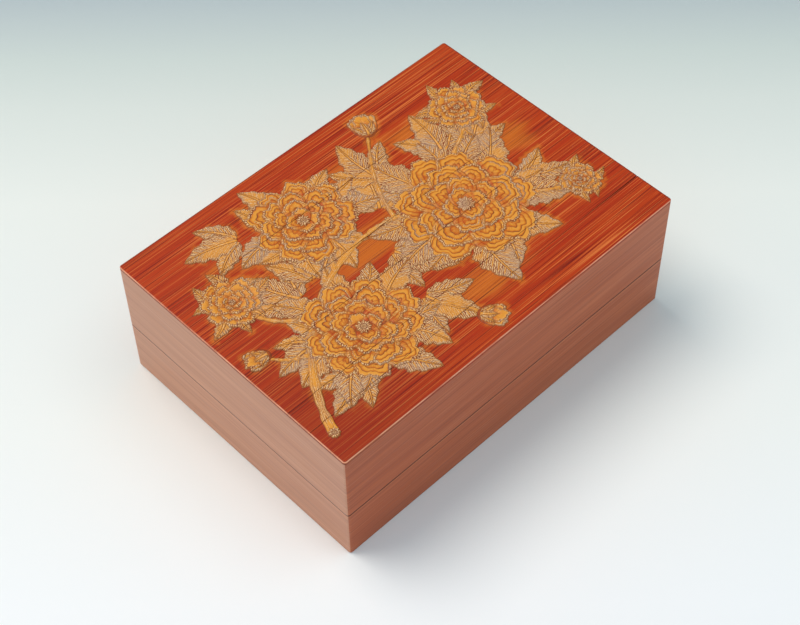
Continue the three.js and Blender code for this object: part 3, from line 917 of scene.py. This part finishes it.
def paintHatching(tree, place, grit):  # crinkled strokes and their height
    look = carvedLook
    wobble = noise(tree, place, (620, 620, 1), 2.0, 0.6)
    swing = times(tree, readField(tree, "stroke"), 2 * math.pi / look["strokePitch"])
    swing = plus(tree, swing, times(tree, wobble, look["strokeWobble"]))
    wave = calc(tree, "MULTIPLY_ADD", calc(tree, "SINE", swing), 0.5, 0.5)
    strokes = plus(tree, times(tree, wave, 0.62), times(tree, grit, 0.4))
    stops = [(0.26, look["hatchDark"]), (0.46, look["hatchTan"]), (0.7, look["hatchPale"])]
    weathered = remap(tree, noise(tree, place, (45, 45, 1)), 0.46, 0.64, 0.0, 0.45)
    return blend(tree, weathered, ramp(tree, strokes, stops), look["hatchGrey"]), strokes


def makeCarvedMaterial():
    look = carvedLook
    material, tree, shader = newMaterial("carvedBamboo")
    place = objectPlace(tree)
    skin = readField(tree, "skin")
    hatch = readField(tree, "hatch")
    edge = readField(tree, "edge")
    line = readField(tree, "line")
    phase = calc(tree, "FRACT", plus(tree, readField(tree, "contour"), 0.5))
    grit = noise(tree, place, (1200, 1200, 1), 2.0, 0.7)
    ground, fibreTone = paintGround(tree, place, edge)
    tan, strokes = paintHatching(tree, place, grit)
    paint = blend(tree, skin, ground, paintGold(tree, place, phase))
    paint = blend(tree, times(tree, hatch, skin), paint, tan)

    # a painted highlight: a pale glint beside the cut lines
    glintBesideCuts = times(tree, remap(tree, line, 0.3, 0.42), remap(tree, line, 0.66, 0.5))
    glintBesideCuts = times(tree, times(tree, glintBesideCuts, skin), remap(tree, grit, 0.45, 0.68, 0.0, 0.6))
    paint = blend(tree, glintBesideCuts, paint, look["highlight"])
    cut = times(tree, remap(tree, line, 0.3, 0.08), skin)
    paint = blend(tree, times(tree, cut, 0.8), paint, look["darkLineAndShade"])
    fromContour = calc(tree, "MINIMUM", phase, calc(tree, "SUBTRACT", 1.0, phase))
    contour = times(tree, remap(tree, fromContour, 0.12, 0.03), skin)
    broken = remap(tree, noise(tree, place, (150, 150, 1)), 0.36, 0.56, 0.2, 0.85)
    paint = blend(tree, times(tree, contour, broken), paint, look["darkLineAndShade"])
    # dark outlines round the forms; on the ground outside them they are a painted shadow
    outside = calc(tree, "SUBTRACT", 0.7, times(tree, skin, 0.5))
    paint = blend(tree, times(tree, remap(tree, edge, 0.5, 0.1), outside), paint, look["darkLineAndShade"])
    # dark joints between strips, and painted shade along the far edges
    joint = times(tree, remap(tree, readField(tree, "seam"), 0.3, 0.1), 0.75)
    paint = blend(tree, joint, paint, look["darkLineAndShade"])
    patches = remap(tree, noise(tree, place, (60, 60, 60)), 0.35, 0.6, 0.45, 0.9)
    # painted highlight along the near edges of the top, in patches
    paleAndHighlight = times(tree, remap(tree, readField(tree, "rim"), 0.5, 0.2), patches)
    paint = blend(tree, paleAndHighlight, paint, look["paleAndHighlight"])
    tree.links.new(paint, shader.inputs["Base Color"])

    plain = (look["plainRoughness"],) * 3 + (1,)
    hatched = (look["hatchRoughness"],) * 3 + (1,)
    tree.links.new(blend(tree, hatch, plain, hatched), shader.inputs["Roughness"])
    shader.inputs["Specular IOR Level"].default_value = look["gloss"]
    fibres = times(tree, fibreTone, calc(tree, "SUBTRACT", 0.12, times(tree, skin, 0.1)))
    height = plus(tree, times(tree, times(tree, strokes, hatch), 0.12), fibres)
    tree.links.new(bump(tree, height, 1.0), shader.inputs["Normal"])
    return material


stripShape = {
    "cornerRadius": 1.5,
    "arris": 0.5,            # rounding of the top's outer edge
    "reliefDepth": 0.8,      # from the skin down to the ground
    "fibreDepth": 0.07,
    "headroom": 0.04,        # keeps the fibres under the height of the solids
    "solidGap": 0.3,         # between two strips' solids, and what is left of it here
    "joint": 0.1,
    "jointEase": 0.16,
    "crackWidth": 0.34,      # the joint that has opened at the right end
    "crackFrom": 58.0,
    "crackAfter": 5,         # the strip behind the crack
    "spacing": 0.33,         # of the surface's grid
    "edgeSteps": (0.0, 0.06, 0.16, 0.3, 0.5, 0.8, 1.1),      # finer ones at an outer edge
    "jointSteps": (0.0, 0.05, 0.12, 0.25),
    "beltHeight": 0.7,       # from the strip's underside up to the belt
}


def gridLine(low, high, lowIsEdge, highIsEdge):  # even steps, with finer ones at both ends
    shape = stripShape
    start = low + np.array(shape["edgeSteps"] if lowIsEdge else shape["jointSteps"])
    stop = high - np.array(shape["edgeSteps"] if highIsEdge else shape["jointSteps"])[::-1]
    count = max(2, int(round((stop[0] - start[-1]) / shape["spacing"])))
    return np.concatenate([start[:-1], np.linspace(start[-1], stop[0], count + 1), stop[1:]])


def stripGrid(number):  # places of the surface's points
    shape = stripShape
    low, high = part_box(f"top_strip_{number}")
    isBack = number == 1
    isFront = number == stripCount
    gapFill = (shape["solidGap"] - shape["joint"]) / 2
    yLow = low[1] / mm - (0 if isFront else gapFill)
    yHigh = high[1] / mm + (0 if isBack else gapFill)
    rows = gridLine(yLow, yHigh, isFront, isBack)
    columns = gridLine(-halfLength, halfLength, True, True) / halfLength
    radius = shape["cornerRadius"]
    over = np.clip(abs(rows) - (halfDepth - radius), 0, radius)
    reach = halfLength - radius + np.sqrt(np.maximum(radius ** 2 - over ** 2, 0))
    x = reach[:, None] * columns[None, :]
    y = np.repeat(rows[:, None], len(columns), axis=1)

    crack = shape["crackWidth"] / 2 * smoothStep(shape["crackFrom"], halfLength, x)
    along = (y - yLow) / (yHigh - yLow)
    if number == shape["crackAfter"]:
        y = y + crack * (1 - along) ** 8
    if number == shape["crackAfter"] + 1:
        y = y - crack * along ** 8
    return x, y


def distanceFromEdge(x, y):  # inwards from the top's outline
    radius = stripShape["cornerRadius"]
    cornerX = abs(x) - (halfLength - radius)
    cornerY = abs(y) - (halfDepth - radius)
    distance = radius - np.hypot(np.maximum(cornerX, 0), np.maximum(cornerY, 0))
    return distance - np.minimum(np.maximum(cornerX, cornerY), 0)


def stripHeights(number, x, y, relief, fromEdge):  # heights, and the distance to a joint
    shape = stripShape
    arris = shape["arris"]
    short = np.clip(arris - fromEdge, 0, arris)
    drop = arris - np.sqrt(np.maximum(arris ** 2 - short ** 2, 0))
    fade = 0.35 + 0.65 * smoothNoise(x, y * 0, 26.0, 1.0, 90 + number)
    borders = []
    if number != stripCount:
        borders.append(y - y.min(axis=0))
    if number != 1:
        borders.append(y.max(axis=0) - y)
    seam = np.full(x.shape, farOff)
    for border in borders:
        drop = drop + shape["jointEase"] * fade * (1 - smoothStep(0, 0.25, border))
        seam = np.minimum(seam, border + 0.3 * (1 - fade))
    fibre = smoothNoise(x, y, 34.0, 1.3, 61) * 0.6 + smoothNoise(x, y, 12.0, 0.9, 62) * 0.4
    ground = -shape["reliefDepth"] + shape["fibreDepth"] * (fibre - 0.5)
    rise = shape["reliefDepth"] * np.clip(relief, 0, 1)
    return boxHeight - shape["headroom"] + ground + rise - drop, seam


def stripMesh(name, x, y, z, floor):  # the surface, a belt round it, a skirt and an underside
    height, width = x.shape
    index = np.arange(x.size).reshape(height, width)
    corners = (index[:-1, :-1], index[:-1, 1:], index[1:, 1:], index[1:, :-1])
    quads = np.stack(corners, axis=-1).reshape(-1, 4)
    rim = np.concatenate([index[0, :], index[1:, -1], index[-1, -2::-1], index[-2:0:-1, 0]])
    points = np.stack([x.ravel(), y.ravel(), z.ravel()], axis=1)
    belt = points[rim].copy()
    belt[:, 2] = floor + stripShape["beltHeight"]
    skirt = belt.copy()
    skirt[:, 2] = floor
    middle = x.size + np.arange(len(rim))
    foot = middle + len(rim)
    sides = []
    for upper, lower in ((rim, middle), (middle, foot)):
        sides.append(np.stack([upper, lower, np.roll(lower, -1), np.roll(upper, -1)], axis=-1))
    faces = np.concatenate([quads, *sides]).tolist()
    faces.append(foot[::-1].tolist())
    mesh = bpy.data.meshes.new(name)
    mesh.from_pydata((np.concatenate([points, belt, skirt]) * mm).tolist(), [], faces)
    return mesh, rim


def makeStrip(number, material):
    x, y = stripGrid(number)
    carving = carveTop(x, y)
    fromEdge = distanceFromEdge(x, y)
    z, seam = stripHeights(number, x, y, carving.relief, fromEdge)
    name = f"carvedStrip_{number}"
    mesh, rim = stripMesh(name, x, y, z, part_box(f"top_strip_{number}")[0][2] / mm)

    isFar = np.maximum(x - halfLength, y - halfDepth) > np.maximum(-x - halfLength, -y - halfDepth)
    # a painted shade line along the far edges, carried with the dark joints
    farEdgeShade = np.minimum(seam, 0.18 + np.maximum(fromEdge - 0.9, 0))
    carving.rim = np.where(isFar, 2, fromEdge)       # the near edges get a painted highlight, the far ones a painted shade line
    carving.seam = np.where(isFar, farEdgeShade, seam)
    atEnd = abs(x.ravel()[rim]) > halfLength - 1
    beltValues = {"skin": 0, "wash": 0, "hatch": 0, "edge": farOff, "line": farOff, "rim": 2, "seam": 0.5}
    for field in ("skin", "wash", "hatch", "edge", "line", "stroke", "contour", "rim", "seam"):
        values = getattr(carving, field).ravel()
        belt = np.full(len(rim), beltValues[field]) if field in beltValues else values[rim]
        skirt = np.where(atEnd, -0.3, 0.0) if field == "seam" else belt
        values = np.concatenate([values, belt, skirt])
        mesh.attributes.new(field, "FLOAT", "POINT").data.foreach_set("value", values)
    mesh.polygons.foreach_set("use_smooth", [True] * len(mesh.polygons))
    mesh.materials.append(material)
    piece = bpy.data.objects.new(name, mesh)
    bpy.context.scene.collection.objects.link(piece)
    sharpenEdges(piece, 60)
    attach(piece, "lid")
    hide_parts(f"top_strip_{number}")
    return len(mesh.polygons)


def makeStrips():
    material = makeCarvedMaterial()
    for number in range(1, stripCount + 1):
        faces = makeStrip(number, material)
        print(f"top: strip {number} is carved, {faces} faces")


makeStrips()


# The wood that the bamboo is glued to, and the lip. Grain runs along X or along Y.
woodLooks = {
    "carcass": {"dark": colour(160, 98, 58), "light": colour(216, 154, 102), "roughness": 0.6},
    "lip": {"dark": colour(118, 60, 36), "light": colour(166, 98, 62), "roughness": 0.5},
}


def makeWood(kind, axis):
    look = woodLooks[kind]
    material, tree, shader = newMaterial(f"{kind}Along{axis}")
    place = objectPlace(tree)
    stretch = (14, 190, 190) if axis == "X" else (190, 14, 190)
    rings = noise(tree, place, stretch, 4.0, 0.6, 0.4)
    pores = noise(tree, place, tuple(7 * value for value in stretch), 2.0, 0.6)
    base = ramp(tree, rings, [(0.32, look["dark"]), (0.66, look["light"])])
    base = blend(tree, times(tree, remap(tree, pores, 0.58, 0.7), 0.5), base, look["dark"])
    tree.links.new(base, shader.inputs["Base Color"])
    rough = remap(tree, rings, 0.3, 0.7, look["roughness"] - 0.05, look["roughness"] + 0.08)
    tree.links.new(rough, shader.inputs["Roughness"])
    height = plus(tree, times(tree, rings, 0.5), times(tree, pores, 0.5))
    tree.links.new(bump(tree, height, 0.1), shader.inputs["Normal"])
    return material


def dressNode(node, material):
    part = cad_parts[node]
    part.data.materials.clear()
    part.data.materials.append(material)


def makeWoodwork():
    carcass = {axis: makeWood("carcass", axis) for axis in "XY"}
    lip = {axis: makeWood("lip", axis) for axis in "XY"}
    for side in sideNames:
        axis = "X" if side in ("front", "back") else "Y"
        dressNode(f"base_{side}_wall", carcass[axis])
        dressNode(f"lid_{side}_wall", carcass[axis])
        dressNode(f"base_{side}_lip", lip[axis])
    dressNode("base_bottom_board", carcass["X"])
    dressNode("lid_top_board", carcass["X"])


makeWoodwork()
print("inside: walls, boards and lip are finished")

bpy.context.view_layer.update()
